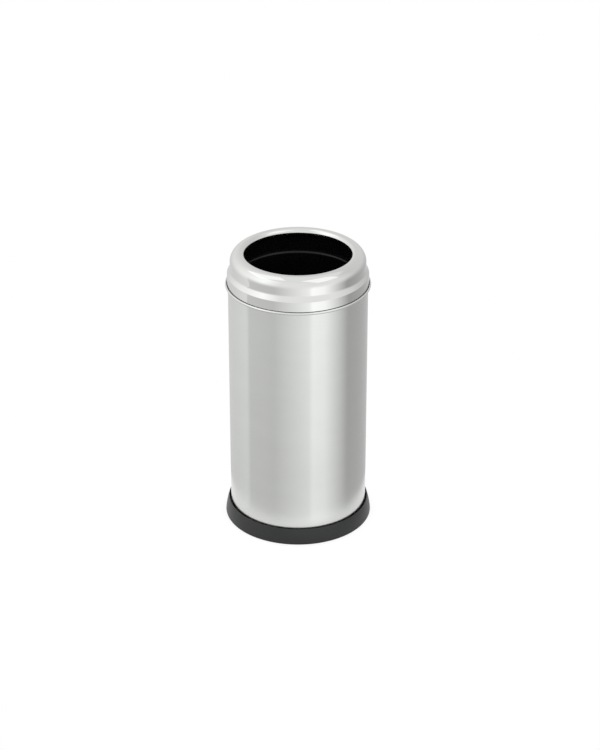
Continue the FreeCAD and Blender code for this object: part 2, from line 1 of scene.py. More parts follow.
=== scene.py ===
import bmesh
import bpy
import numpy as np
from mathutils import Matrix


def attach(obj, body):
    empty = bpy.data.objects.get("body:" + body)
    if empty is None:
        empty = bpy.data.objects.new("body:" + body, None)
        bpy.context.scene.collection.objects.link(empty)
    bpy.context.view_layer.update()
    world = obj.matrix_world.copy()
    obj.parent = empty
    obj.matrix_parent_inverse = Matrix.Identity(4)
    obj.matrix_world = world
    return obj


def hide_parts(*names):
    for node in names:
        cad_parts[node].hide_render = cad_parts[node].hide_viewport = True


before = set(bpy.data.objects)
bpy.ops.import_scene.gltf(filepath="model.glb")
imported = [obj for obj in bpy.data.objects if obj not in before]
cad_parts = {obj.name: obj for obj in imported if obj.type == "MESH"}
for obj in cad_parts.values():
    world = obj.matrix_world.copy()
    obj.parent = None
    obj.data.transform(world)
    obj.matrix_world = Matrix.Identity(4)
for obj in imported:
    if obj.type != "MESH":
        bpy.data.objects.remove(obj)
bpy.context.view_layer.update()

# Foot pads: four rubber discs with a soft edge and a ring groove underneath, pressed into cups in the
# base ring so that the bin stands a millimetre off the floor and does not slide on it.
mm = 0.001
pad_radius, pad_thickness, pad_circle = 7 * mm, 3 * mm, 117 * mm
pad_lower_edge, pad_upper_edge = 0.6 * mm, 0.3 * mm
ring_inner, ring_outer, ring_slope, ring_depth, ring_edge = 3.4 * mm, 4.8 * mm, 0.3 * mm, 0.5 * mm, 0.2 * mm
pad_angles = np.radians([45, 135, 225, 315])
small_steps, weld_distance, sharp_angle = 64, 0.001 * mm, np.radians(35)


def softened(corners, points=9):
    """Outline through corners (across, up, rounding). A corner with a rounding is cut off by the arc of
    that radius that touches both of its sides: the arc's centre lies on the line that halves the corner,
    radius / sin(half the corner) away. A corner with none stays a point. A short lead on each side of an
    arc, a fortieth of its radius where there is room, keeps the flats beside it flat in the shading."""
    place = np.array([corner[:2] for corner in corners], float)
    before = np.roll(place, 1, 0) - place
    after = np.roll(place, -1, 0) - place
    before /= np.linalg.norm(before, axis=1, keepdims=True)
    after /= np.linalg.norm(after, axis=1, keepdims=True)
    half = np.arccos(np.clip((before * after).sum(1), -1, 1)) / 2
    radii = np.array([corner[2] if len(corner) == 3 else 0 for corner in corners])
    reaches = radii / np.tan(half)
    straight = np.linalg.norm(np.roll(place, -1, 0) - place, axis=1) - reaches - np.roll(reaches, -1)
    leads = np.minimum(radii / 40, np.minimum(straight, np.roll(straight, 1)).clip(0) / 3)
    share = np.linspace(0, 1, points)[:, None]
    pieces = []
    sides = zip(place, before, after, half, radii, reaches, leads)
    for here, back, ahead, bend, radius, reach, lead in sides:
        if radius == 0:
            pieces.append(here[None])
            continue
        centre = here + (back + ahead) / np.linalg.norm(back + ahead) * radius / np.sin(bend)
        sweep = np.pi - 2 * bend
        first = here + back * reach - centre
        last = here + ahead * reach - centre
        arc = centre + (first * np.sin((1 - share) * sweep) + last * np.sin(share * sweep)) / np.sin(sweep)
        pieces.append(np.concatenate([arc[:1] + back * lead, arc, arc[-1:] + ahead * lead]))
    return np.concatenate(pieces)


def turned(outline, steps=192):
    """Outline of points (across r, up h) turned about the upright axis: at the angle a each point lies at
    (r cos a, r sin a, h)."""
    angle = np.linspace(0, 2 * np.pi, steps + 1)[:, None]
    across, up = outline.T
    return np.stack([across * np.cos(angle), across * np.sin(angle), up + 0 * angle], -1)


def skin(name, *grids):
    """One piece from grids of points, rows by columns. Each cell of a grid is a face, its map is the
    distance in metres along the rows and along the columns, and points that meet are welded."""
    points, cells, spread, start = [], [], [], 0
    for grid in grids:
        rows, columns = grid.shape[:2]
        index = start + np.arange(rows * columns).reshape(rows, columns)
        start += rows * columns
        along = np.cumsum(np.r_[0, np.linalg.norm(np.diff(grid, axis=0), axis=-1).mean(1)])
        up = np.cumsum(np.r_[0, np.linalg.norm(np.diff(grid, axis=1), axis=-1).mean(0)])
        place = np.stack(np.meshgrid(along, up, indexing="ij"), -1)
        corners = [(slice(None, -1), slice(None, -1)), (slice(1, None), slice(None, -1)),
                   (slice(1, None), slice(1, None)), (slice(None, -1), slice(1, None))]
        points.append(grid.reshape(-1, 3))
        cells.append(np.stack([index[corner] for corner in corners], -1).reshape(-1, 4))
        spread.append(np.stack([place[corner] for corner in corners], -2).reshape(-1, 2))
    mesh = bpy.data.meshes.new(name)
    mesh.from_pydata(np.concatenate(points), [], np.concatenate(cells))
    flat_map = np.concatenate(spread).astype(np.float32).ravel()
    mesh.uv_layers.new(name="spread").data.foreach_set("uv", flat_map)
    welded = bmesh.new()
    welded.from_mesh(mesh)
    bmesh.ops.remove_doubles(welded, verts=welded.verts, dist=weld_distance)
    welded.to_mesh(mesh)
    welded.free()
    mesh.shade_smooth()
    mesh.set_sharp_from_angle(angle=sharp_angle)
    piece = bpy.data.objects.new(name, mesh)
    bpy.context.scene.collection.objects.link(piece)
    return piece


def new_finish(name):
    """Empty finish: the material, its nodes and its shader."""
    material = bpy.data.materials.new(name)
    material.use_nodes = True
    return material, material.node_tree, material.node_tree.nodes["Principled BSDF"]


def mottle(tree, coordinate, scale, detail=3.0):
    """Noise that varies once in 1 / scale metres along each direction of a coordinate."""
    source = tree.nodes.new("ShaderNodeTexCoord")
    stretch = tree.nodes.new("ShaderNodeMapping")
    stretch.inputs["Scale"].default_value = scale
    noise = tree.nodes.new("ShaderNodeTexNoise")
    noise.inputs["Scale"].default_value = 1.0
    noise.inputs["Detail"].default_value = detail
    tree.links.new(source.outputs[coordinate], stretch.inputs["Vector"])
    tree.links.new(stretch.outputs["Vector"], noise.inputs["Vector"])
    return noise.outputs["Fac"]


def shades(tree, value, socket, dark, light):
    """Colour that runs from dark to light as a value runs over the middle of its range."""
    ramp = tree.nodes.new("ShaderNodeValToRGB")
    ramp.color_ramp.elements[0].position = 0.3
    ramp.color_ramp.elements[0].color = (*dark, 1)
    ramp.color_ramp.elements[1].position = 0.7
    ramp.color_ramp.elements[1].color = (*light, 1)
    tree.links.new(value, ramp.inputs["Fac"])
    tree.links.new(ramp.outputs["Color"], socket)


def between(tree, value, socket, low, high):
    """Number that runs from low to high as a value runs over the middle of its range."""
    spread = tree.nodes.new("ShaderNodeMapRange")
    spread.inputs["From Min"].default_value = 0.3
    spread.inputs["From Max"].default_value = 0.7
    spread.inputs["To Min"].default_value = low
    spread.inputs["To Max"].default_value = high
    tree.links.new(value, spread.inputs["Value"])
    tree.links.new(spread.outputs["Result"], socket)


def relief(tree, shader, value, depth, strength=1.0):
    """Fine relief: a value of 1 stands depth metres above a value of 0."""
    bump = tree.nodes.new("ShaderNodeBump")
    bump.inputs["Strength"].default_value = strength
    bump.inputs["Distance"].default_value = depth
    tree.links.new(value, bump.inputs["Height"])
    tree.links.new(bump.outputs["Normal"], shader.inputs["Normal"])


def set_out(shape, circle, angles):
    """Copies of a shape round the upright axis: the one for the angle a is moved by circle cos a to the
    right and circle sin a to the back."""
    return [shape + (circle * np.cos(angle), circle * np.sin(angle), 0) for angle in angles]


pad_outline = softened([
    (0, 0), (ring_inner, 0, ring_edge), (ring_inner + ring_slope, ring_depth, ring_edge),
    (ring_outer - ring_slope, ring_depth, ring_edge), (ring_outer, 0, ring_edge),
    (pad_radius, 0, pad_lower_edge), (pad_radius, pad_thickness, pad_upper_edge), (0, pad_thickness),
])
foot_pads = skin("foot_pads_rubber", *set_out(turned(pad_outline, small_steps), pad_circle, pad_angles))
rubber, rubber_nodes, rubber_shader = new_finish("black_rubber")
rubber_speckle = mottle(rubber_nodes, "Object", (900, 900, 900))
shades(rubber_nodes, rubber_speckle, rubber_shader.inputs["Base Color"], (0.022,) * 3, (0.034,) * 3)
between(rubber_nodes, rubber_speckle, rubber_shader.inputs["Roughness"], 0.7, 0.9)
relief(rubber_nodes, rubber_shader, rubber_speckle, 0.04 * mm)
foot_pads.data.materials.append(rubber)
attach(foot_pads, "drum")
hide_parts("foot_pads")

# Base ring: one moulding in dark grey plastic with a fine spark-eroded grain. Its side bulges out to the
# floor, and a ledge inside carries the drum, with ribs and pad cups under it and screw posts on top.
base_radius, base_foot, base_top = 134.6 * mm, 1 * mm, 29.8 * mm
lip_inner, lip_outer = 127.4 * mm, 128.9 * mm
ledge_top, ledge_under, ledge_inner = 10 * mm, 7 * mm, 97 * mm
wall_inner, base_edge, base_bulge, edge_overlap = 131.4 * mm, 0.5 * mm, 0.72 * mm, 0.1 * mm
ledge_edge, ledge_bend = 0.6 * mm, 1.2 * mm
rib_low, rib_high, rib_outer, rib_spread = 2 * mm, 8.5 * mm, 133 * mm, np.radians(1.1)
rib_angles = np.radians(np.arange(0, 360, 30))
wide_steps, post_steps, side_points = 256, 48, 25
cup_inner, cup_outer, cup_low, cup_floor, cup_edge = 7.2 * mm, 9.2 * mm, 1.05 * mm, 3 * mm, 0.3 * mm
post_radius, post_low, post_high, post_edge = 5 * mm, 5.5 * mm, 15.2 * mm, 0.4 * mm
post_bore, post_bore_end = 2.02 * mm, 7 * mm
screw_circle = 104 * mm
screw_angles = np.radians([0, 90, 180, 270])


def bulged(first, last, rise, count):
    """Corners from first to last on a shallow bow: a share s of the way along, the corner stands
    4 rise s (1 - s) to the right of the straight line."""
    share = np.linspace(0, 1, count)[:, None]
    first, last = np.array(first), np.array(last)
    side = np.array([last[1] - first[1], first[0] - last[0]]) / np.linalg.norm(last - first)
    return first + (last - first) * share + side * 4 * rise * share * (1 - share)


def wedge(outline, angle, spread, rows_across=7):
    """Closed outline turned through a small spread about an angle, its two ends drawn in to the
    outline's middle so that they are closed."""
    outline = np.concatenate([outline, outline[:1]])
    middle = np.broadcast_to(outline[:-1].mean(0), outline.shape)
    angles = np.linspace(angle - spread / 2, angle + spread / 2, rows_across)
    rows = np.stack([middle, *[outline] * rows_across, middle])
    angles = np.r_[angles[0], angles, angles[-1]][:, None]
    across, up = rows[..., 0], rows[..., 1]
    return np.stack([across * np.cos(angles), across * np.sin(angles), up], -1)


base_low, base_high = (base_radius, base_foot + base_edge), (lip_outer, base_top - base_edge)
base_side = bulged(base_low, base_high, base_bulge, side_points)
base_inside = softened([
    tuple(base_side[-1]), (lip_outer - edge_overlap, base_top, base_edge), (lip_inner, base_top, base_edge),
    (lip_inner, ledge_top, ledge_edge), (ledge_inner, ledge_top, ledge_edge),
    (ledge_inner, ledge_under, ledge_edge), (wall_inner, ledge_under, ledge_bend),
    (wall_inner, base_foot, base_edge), (base_radius + edge_overlap, base_foot, base_edge),
    tuple(base_side[0]),
])
base_outline = np.concatenate([base_side[:-1], base_inside])
rib_outline = np.array([
    (ledge_inner, rib_high), (ledge_inner, rib_low), (rib_outer, rib_low), (rib_outer, rib_high),
])
cup_outline = softened([
    (0, cup_floor), (cup_inner, cup_floor), (cup_inner, cup_low), (cup_outer, cup_low, cup_edge),
    (cup_outer, rib_high), (0, rib_high),
])
post_outline = softened([
    (0, post_low), (post_radius, post_low, post_edge), (post_radius, post_high, post_edge),
    (post_bore, post_high), (post_bore, post_bore_end), (0, post_bore_end),
])
base_ring = skin(
    "base_ring_moulding",
    turned(base_outline, wide_steps),
    *[wedge(rib_outline, angle, rib_spread) for angle in rib_angles],
    *set_out(turned(cup_outline, post_steps), pad_circle, pad_angles),
    *set_out(turned(post_outline, post_steps), screw_circle, screw_angles),
)
base_plastic, base_nodes, base_shader = new_finish("grained_dark_plastic")
base_grain = mottle(base_nodes, "Object", (1600, 1600, 1600), 4.0)
base_cloud = mottle(base_nodes, "Object", (18, 18, 18))
base_dark, base_light = (0.0205, 0.0217, 0.0217), (0.0255, 0.0267, 0.0267)
shades(base_nodes, base_cloud, base_shader.inputs["Base Color"], base_dark, base_light)
between(base_nodes, base_grain, base_shader.inputs["Roughness"], 0.38, 0.5)
base_shader.inputs["Specular IOR Level"].default_value = 0.34
relief(base_nodes, base_shader, base_grain, 0.02 * mm, 0.6)
base_ring.data.materials.append(base_plastic)
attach(base_ring, "drum")
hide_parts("base_ring")

# Bottom plate: a disc pressed from mill-finished sheet, its edge turned down onto the base ring's ledge
# inside the drum. Four clearance holes take the base screws.
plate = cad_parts["bottom_plate"]
plate_steel, plate_nodes, plate_shader = new_finish("mill_steel")
plate_cloud = mottle(plate_nodes, "Object", (40, 40, 40), 5.0)
plate_rolling = mottle(plate_nodes, "Object", (25, 2600, 2600), 2.0)
shades(plate_nodes, plate_cloud, plate_shader.inputs["Base Color"], (0.50, 0.505, 0.50), (0.57, 0.575, 0.565))
between(plate_nodes, plate_cloud, plate_shader.inputs["Roughness"], 0.3, 0.42)
relief(plate_nodes, plate_shader, plate_rolling, 0.004 * mm, 0.5)
plate_shader.inputs["Metallic"].default_value = 1.0
plate.data.materials.clear()
plate.data.materials.append(plate_steel)

# Base screws: four zinc-plated pan-head screws with a cross recess, driven through the bottom plate into
# the base ring's posts.
head_radius, head_low, head_high, head_round = 4 * mm, 16 * mm, 18.4 * mm, 1.4 * mm
head_edge, crown_start, crown_points, screw_steps = 0.15 * mm, 1 * mm, 40, 96
shank_radius, shank_tip, tip_round = 2 * mm, 7 * mm, 0.5 * mm
recess_depth, recess_half, recess_reach = 1.3 * mm, 0.45 * mm, 2.3 * mm
recess_flank, recess_fade = 0.12 * mm, 0.9 * mm


def cross_recess(shape):
    """Presses a cross into a screw's head: points of its crown closer than half a slot to either slot's
    line, and inside its reach, sink by the recess depth, less towards the ends of the slots."""
    from_lines = np.minimum(np.abs(shape[..., 0]), np.abs(shape[..., 1]))
    from_middle = np.hypot(shape[..., 0], shape[..., 1])
    flank = np.clip((recess_half - from_lines) / recess_flank, 0, 1)
    fade = np.clip((recess_reach - from_middle) / recess_fade, 0, 1)
    crown = shape[..., 2] > head_low + crown_start
    sunk = shape.copy()
    sunk[..., 2] -= recess_depth * flank * fade * crown
    return sunk


screw_side = softened([
    (0, shank_tip), (shank_radius, shank_tip, tip_round), (shank_radius, head_low),
    (head_radius, head_low, head_edge), (head_radius, head_high, head_round), (0, head_high),
])[:-1]
crown_radii = np.linspace(screw_side[-1, 0], 0, crown_points)[1:]
screw_crown = np.stack([crown_radii, np.full(len(crown_radii), head_high)], -1)
screw_shape = cross_recess(turned(np.concatenate([screw_side, screw_crown]), screw_steps))
base_screws = skin("base_screws_zinc", *set_out(screw_shape, screw_circle, screw_angles))
zinc, zinc_nodes, zinc_shader = new_finish("bright_zinc")
zinc_cloud = mottle(zinc_nodes, "Object", (700, 700, 700))
shades(zinc_nodes, zinc_cloud, zinc_shader.inputs["Base Color"], (0.60, 0.61, 0.63), (0.70, 0.71, 0.72))
between(zinc_nodes, zinc_cloud, zinc_shader.inputs["Roughness"], 0.2, 0.34)
zinc_shader.inputs["Metallic"].default_value = 1.0
base_screws.data.materials.append(zinc)
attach(base_screws, "drum")
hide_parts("base_screws")

# Drum: satin stainless sheet rolled to a tube and welded down the back, its upper edge rolled inwards.
# The grain of the sheet runs round the drum, and the planished weld is a little duller than the rest.
drum_radius, drum_sheet = 125 * mm, 0.8 * mm
drum_low, drum_top, rim_roll = 10 * mm, 478 * mm, 2.2 * mm
weld_half_width, weld_core, weld_dulling, weld_height = 1.1 * mm, 0.4, 0.22, 25.0
wall_steps, roll_lead = 47, 0.1 * mm


def bow(centre, radius, start, finish, count):
    """Points on a circle about a centre, from a start angle to a finish angle in degrees."""
    angle = np.radians(np.linspace(start, finish, count))
    return np.stack([centre[0] + radius * np.cos(angle), centre[1] + radius * np.sin(angle)], -1)


roll_centre = (drum_radius - rim_roll, drum_top - rim_roll)
drum_wall = np.linspace(drum_low, roll_centre[1], wall_steps + 1)[:-1]
drum_outline = np.concatenate([
    np.stack([np.full(wall_steps, drum_radius), drum_wall], -1),
    [(drum_radius, roll_centre[1] - roll_lead)],
    bow(roll_centre, rim_roll, 0, 270, 31),
    bow(roll_centre, rim_roll - drum_sheet, 270, 0, 31),
    [(drum_radius - drum_sheet, roll_centre[1] - roll_lead)],
    np.stack([np.full(wall_steps, drum_radius - drum_sheet), drum_wall[::-1]], -1),
    [(drum_radius, drum_low)],
])
body_shell = skin("drum_sheet_rolled", turned(drum_outline, wide_steps))
satin, satin_nodes, satin_shader = new_finish("satin_stainless")
satin_grain = mottle(satin_nodes, "UV", (45, 5200, 1), 2.0)
satin_cloud = mottle(satin_nodes, "UV", (9, 26, 1))
satin_dark, satin_light = (0.612, 0.622, 0.606), (0.628, 0.638, 0.622)
shades(satin_nodes, satin_cloud, satin_shader.inputs["Base Color"], satin_dark, satin_light)
satin_place = satin_nodes.nodes.new("ShaderNodeTexCoord")
satin_axes = satin_nodes.nodes.new("ShaderNodeSeparateXYZ")
satin_nodes.links.new(satin_place.outputs["Object"], satin_axes.inputs["Vector"])
weld_off = satin_nodes.nodes.new("ShaderNodeMath")
weld_off.operation = "ABSOLUTE"
satin_nodes.links.new(satin_axes.outputs["X"], weld_off.inputs[0])
weld_near = satin_nodes.nodes.new("ShaderNodeMapRange")
weld_near.interpolation_type = "SMOOTHSTEP"
weld_near.inputs["From Min"].default_value = weld_half_width
weld_near.inputs["From Max"].default_value = weld_half_width * weld_core
satin_nodes.links.new(weld_off.outputs[0], weld_near.inputs["Value"])
weld_back = satin_nodes.nodes.new("ShaderNodeMath")
weld_back.operation = "GREATER_THAN"
weld_back.inputs[1].default_value = 0.0
satin_nodes.links.new(satin_axes.outputs["Y"], weld_back.inputs[0])
weld_line = satin_nodes.nodes.new("ShaderNodeMath")
weld_line.operation = "MULTIPLY"
satin_nodes.links.new(weld_near.outputs["Result"], weld_line.inputs[0])
satin_nodes.links.new(weld_back.outputs[0], weld_line.inputs[1])
satin_dull = satin_nodes.nodes.new("ShaderNodeMath")
satin_dull.operation = "MULTIPLY_ADD"
satin_dull.inputs[1].default_value = weld_dulling
satin_nodes.links.new(weld_line.outputs[0], satin_dull.inputs[0])
between(satin_nodes, satin_grain, satin_dull.inputs[2], 0.16, 0.22)
satin_nodes.links.new(satin_dull.outputs[0], satin_shader.inputs["Roughness"])
satin_height = satin_nodes.nodes.new("ShaderNodeMath")
satin_height.operation = "MULTIPLY_ADD"
satin_height.inputs[1].default_value = weld_height
satin_nodes.links.new(weld_line.outputs[0], satin_height.inputs[0])
satin_nodes.links.new(satin_grain, satin_height.inputs[2])
relief(satin_nodes, satin_shader, satin_height.outputs[0], 0.002 * mm, 0.5)
satin_shader.inputs["Metallic"].default_value = 1.0
satin_shader.inputs["Anisotropic"].default_value = 0.9
satin_shader.inputs["Anisotropic Rotation"].default_value = 0.25
body_shell.data.materials.append(satin)
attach(body_shell, "drum")
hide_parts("body_shell")

# Bucket: one glossy black moulding, tapered so that it leaves its mould, hung over the drum's rim by its
# flange. Two shelves carry the folded bail and two bored bosses are its pivots.
bucket_low, bucket_wall, foot_radius, foot_round = 24 * mm, 2.2 * mm, 96 * mm, 10 * mm
mouth_outer, neck, crest_start, crest_round = 106.2 * mm, 474.5 * mm, 110 * mm, 6 * mm
flange_radius, flange_under, flange_top = 124 * mm, 478.3 * mm, 480.5 * mm
flange_lower_edge, flange_round = 0.4 * mm, 1 * mm
pivot_height, boss_inner, boss_outer, boss_radius = 454.5 * mm, 97 * mm, 107.24 * mm, 7 * mm
bore_radius, bore_edge, boss_inner_edge, boss_outer_edge = 2.05 * mm, 0.3 * mm, 0.8 * mm, 0.5 * mm
shelf_inner, shelf_outer, shelf_low, shelf_high = 85 * mm, 104.6 * mm, 448.2 * mm, 452.2 * mm
shelf_edge, shelf_spread = 0.8 * mm, np.radians(18)


def along_side(shape, way):
    """A shape turned about the upright axis, laid over so that its axis points to the right or, for a way
    of -1, to the left: up becomes out to that side, at the height of the pivots."""
    laid = shape[..., [2, 0, 1]] * (way, way, 1)
    return laid + (0, 0, pivot_height)


heel = (foot_radius - foot_round, bucket_low + foot_round)
bucket_points = 30
bucket_side = np.linspace((foot_radius, heel[1]), (mouth_outer, neck), bucket_points)
bucket_outline = np.concatenate([
    [(0, bucket_low)],
    bow(heel, foot_round, 270, 360, 13),
    bucket_side[1:-1],
    bow((crest_start, neck), crest_round - bucket_wall, 180, 90, 13),
    softened([(crest_start, flange_under), (flange_radius, flange_under, flange_lower_edge),
              (flange_radius, flange_top, flange_round), (crest_start, flange_top)])[1:-1],
    bow((crest_start, neck), crest_round, 90, 180, 17),
    bucket_side[::-1][1:-1] - (bucket_wall, 0),
    bow(heel, foot_round - bucket_wall, 360, 270, 13),
    [(0, bucket_low + bucket_wall)],
])
boss_outline = softened([
    (bore_radius, boss_inner, bore_edge), (boss_radius, boss_inner, boss_inner_edge),
    (boss_radius, boss_outer, boss_outer_edge), (bore_radius, boss_outer, bore_edge),
])
boss_shape = turned(np.concatenate([boss_outline, boss_outline[:1]]), small_steps)
shelf_outline = softened([
    (shelf_inner, shelf_low, shelf_edge), (shelf_outer, shelf_low), (shelf_outer, shelf_high),
    (shelf_inner, shelf_high, shelf_edge),
])
inner_bucket = skin(
    "bucket_moulding",
    turned(bucket_outline, wide_steps),
    along_side(boss_shape, 1), along_side(boss_shape, -1),
    wedge(shelf_outline, 0, shelf_spread), wedge(shelf_outline, np.pi, shelf_spread),
)
bucket_plastic, bucket_nodes, bucket_shader = new_finish("glossy_black_moulding")
bucket_cloud = mottle(bucket_nodes, "Object", (30, 30, 30))
bucket_peel = mottle(bucket_nodes, "Object", (420, 420, 420), 2.0)
shades(bucket_nodes, bucket_cloud, bucket_shader.inputs["Base Color"], (0.0035,) * 3, (0.0055,) * 3)
between(bucket_nodes, bucket_peel, bucket_shader.inputs["Roughness"], 0.20, 0.28)
bucket_shader.inputs["Specular IOR Level"].default_value = 0.22
relief(bucket_nodes, bucket_shader, bucket_peel, 0.01 * mm, 0.5)
inner_bucket.data.materials.append(bucket_plastic)
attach(inner_bucket, "bucket")
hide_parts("inner_bucket")

# Bail: one bright-plated steel wire, bowed to lie inside the bucket's mouth when it is folded, its ends
# bent out through the bored bosses.
wire_radius, wire_tip = 2 * mm, 111.14 * mm
bail_reach, bail_bend = 94 * mm, 5 * mm
bow_radius = bail_reach - bail_bend


def drawn(path, radius, sides=32):
    """Circle carried along a level path: at each point its plane lies across the path, its radius is that
    point's own, and the points stand at (right cos a + up sin a) radius. Both ends close to a point."""
    path = np.concatenate([path[:1], path, path[-1:]])
    radius = np.r_[0, np.broadcast_to(radius, len(path) - 2), 0]
    heading = np.gradient(path[1:-1], axis=0)
    heading /= np.linalg.norm(heading, axis=1, keepdims=True)
    heading = np.concatenate([heading[:1], heading, heading[-1:]])
    angle = np.linspace(0, 2 * np.pi, sides + 1)
    right = np.stack([heading[:, 1], -heading[:, 0]], -1)
    level = path[:, None] + right[:, None] * (radius[:, None] * np.cos(angle))[..., None]
    up = pivot_height + radius[:, None] * np.sin(angle)
    return np.concatenate([level, up[..., None]], -1)


wire_path = np.concatenate([
    [(-wire_tip, 0)],
    bow((-bail_reach, -bail_bend), bail_bend, 90, 0, 13),
    bow((0, -bail_bend), bow_radius, 180, 360, 121)[1:-1],
    bow((bail_reach, -bail_bend), bail_bend, 180, 90, 13),
    [(wire_tip, 0)],
])
bail_wire = skin("bail_wire_drawn", drawn(wire_path, wire_radius))
plated, plated_nodes, plated_shader = new_finish("bright_plated_wire")
plated_draw = mottle(plated_nodes, "UV", (60, 2400, 1), 2.0)
shades(plated_nodes, plated_draw, plated_shader.inputs["Base Color"], (0.56, 0.57, 0.57), (0.64, 0.65, 0.65))
between(plated_nodes, plated_draw, plated_shader.inputs["Roughness"], 0.16, 0.26)
plated_shader.inputs["Metallic"].default_value = 1.0
bail_wire.data.materials.append(plated)
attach(bail_wire, "bail")
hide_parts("bail_wire")

# Bail caps: two closed plastic caps pushed onto the wire's ends outside the bucket, so that the bail
# cannot slip out of its bosses.
cap_radius, cap_start, cap_tip, cap_round = 5 * mm, 107.64 * mm, 112.64 * mm, 1.5 * mm
cap_bore, cap_bore_edge, cap_edge = 2.02 * mm, 0.2 * mm, 0.4 * mm
cap_outline = softened([
    (0, wire_tip), (cap_bore, wire_tip), (cap_bore, cap_start, cap_bore_edge),
    (cap_radius, cap_start, cap_edge), (cap_radius, cap_tip, cap_round), (0, cap_tip),
])
cap_shape = turned(cap_outline, small_steps)
bail_caps = skin("bail_caps_moulded", along_side(cap_shape, 1), along_side(cap_shape, -1))
matt_black, matt_nodes, matt_shader = new_finish("matt_black_moulding")
matt_grain = mottle(matt_nodes, "Object", (1400, 1400, 1400))
shades(matt_nodes, matt_grain, matt_shader.inputs["Base Color"], (0.014,) * 3, (0.021,) * 3)
between(matt_nodes, matt_grain, matt_shader.inputs["Roughness"], 0.42, 0.56)
relief(matt_nodes, matt_shader, matt_grain, 0.015 * mm, 0.6)
bail_caps.data.materials.append(matt_black)
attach(bail_caps, "bail")
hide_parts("bail_caps")

# Grip: a plastic tube moulded round the middle of the bail, with rounded ends and a row of shallow
# grooves for the fingers.
grip_radius, grip_spread, grip_round = 5.5 * mm, 64, 1.2 * mm
groove_pitches, groove_depth, groove_edge, plain_ends = 17, 0.45 * mm, 0.55, 1.5
grip_points = 281
grip_share = np.linspace(0, 1, grip_points)
grip_path = bow((0, -bail_bend), bow_radius, 270 - grip_spread / 2, 270 + grip_spread / 2, grip_points)
grip_length = np.radians(grip_spread) * bow_radius
from_end = np.minimum(grip_share, 1 - grip_share) * grip_length
wave = np.cos(2 * np.pi * (grip_share * groove_pitches - 0.5))
groove = np.clip(wave - groove_edge, 0, 1) / (1 - groove_edge)
groove *= from_end > plain_ends * grip_length / groove_pitches
short_of_end = np.clip(grip_round - from_end, 0, None)
end_round = grip_round - np.sqrt(np.clip(grip_round ** 2 - short_of_end ** 2, 0, None))
grip_radii = grip_radius - end_round - groove_depth * groove
bail_grip = skin("bail_grip_moulded", drawn(grip_path, grip_radii, post_steps))
bail_grip.data.materials.append(matt_black)
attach(bail_grip, "bail")
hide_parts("bail_grip")

# Lid lining: a black moulded ring behind the lid's hem. It cones out to a collar that stands on the
# bucket's flange, and fins outside the collar keep the cover centred.
lining_wall, hem_high = 2.2 * mm, 518.79 * mm
lining_lip, lip_low, collar_radius, cone_low = 95.6 * mm, 515.79 * mm, 110.5 * mm, 505.79 * mm
lining_edge, lip_bend, lip_back_bend = 0.3 * mm, 1.5 * mm, 1 * mm
collar_bend, collar_back_bend, collar_edge = 2 * mm, 3 * mm, 0.4 * mm
fin_inner, fin_outer, fin_low, fin_high = 111.6 * mm, 120.2 * mm, 485.5 * mm, 506.89 * mm
fin_edge, fin_spread, fin_angles = 0.8 * mm, np.radians(1), np.radians(np.arange(0, 360, 30))
lining_back, collar_back = lining_lip + lining_wall, collar_radius + lining_wall
lining_outline = softened([
    (lining_lip, hem_high, lining_edge), (lining_lip, lip_low, lip_bend),
    (collar_radius, cone_low, collar_bend), (collar_radius, flange_top, collar_edge),
    (collar_back, flange_top, collar_edge),
    (collar_back, cone_low + lining_wall / 2, collar_back_bend),
    (lining_back, lip_low + lining_wall / 2, lip_back_bend), (lining_back, hem_high, lining_edge),
])
fin_outline = softened([
    (fin_inner, fin_low), (fin_outer, fin_low, fin_edge), (fin_outer, fin_high, fin_edge),
    (fin_inner, fin_high),
])
lid_lining = skin(
    "lid_lining_moulding",
    turned(np.concatenate([lining_outline, lining_outline[:1]]), wide_steps),
    *[wedge(fin_outline, angle, fin_spread) for angle in fin_angles],
)
lid_lining.data.materials.append(bucket_plastic)
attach(lid_lining, "lid")
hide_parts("lid_lining")

# Lid cover: stainless sheet spun over a former and polished. From the hemmed mouth it rolls over a round
# shoulder down to a leaning step and a skirt, whose lower edge is rolled outwards into a bead.
lid_sheet, skirt_radius, dome_radius, lid_mouth = 0.7 * mm, 126.4 * mm, 121.2 * mm, 94.6 * mm
step_low, step_round, crease_high, crease_round, step_turn = 485.5 * mm, 2.5 * mm, 497.59 * mm, 9 * mm, 30
shoulder_high, shoulder_round, mouth_roll, hem_low = 507.99 * mm, 18.7 * mm, 7.9 * mm, 517.79 * mm
bead_high, bead_roll, hem_edge, cover_points = 465.3 * mm, 2.2 * mm, 0.25 * mm, 25


def bend(centre, radius, start, finish):
    """Corner whose rounding is the arc about a centre from a start angle to a finish angle in degrees: it
    lies half-way round, radius / cos(half the sweep) from the centre."""
    middle, half = np.radians((start + finish) / 2), np.radians((finish - start) / 2)
    reach = radius / np.cos(half)
    return centre[0] + reach * np.cos(middle), centre[1] + reach * np.sin(middle), radius


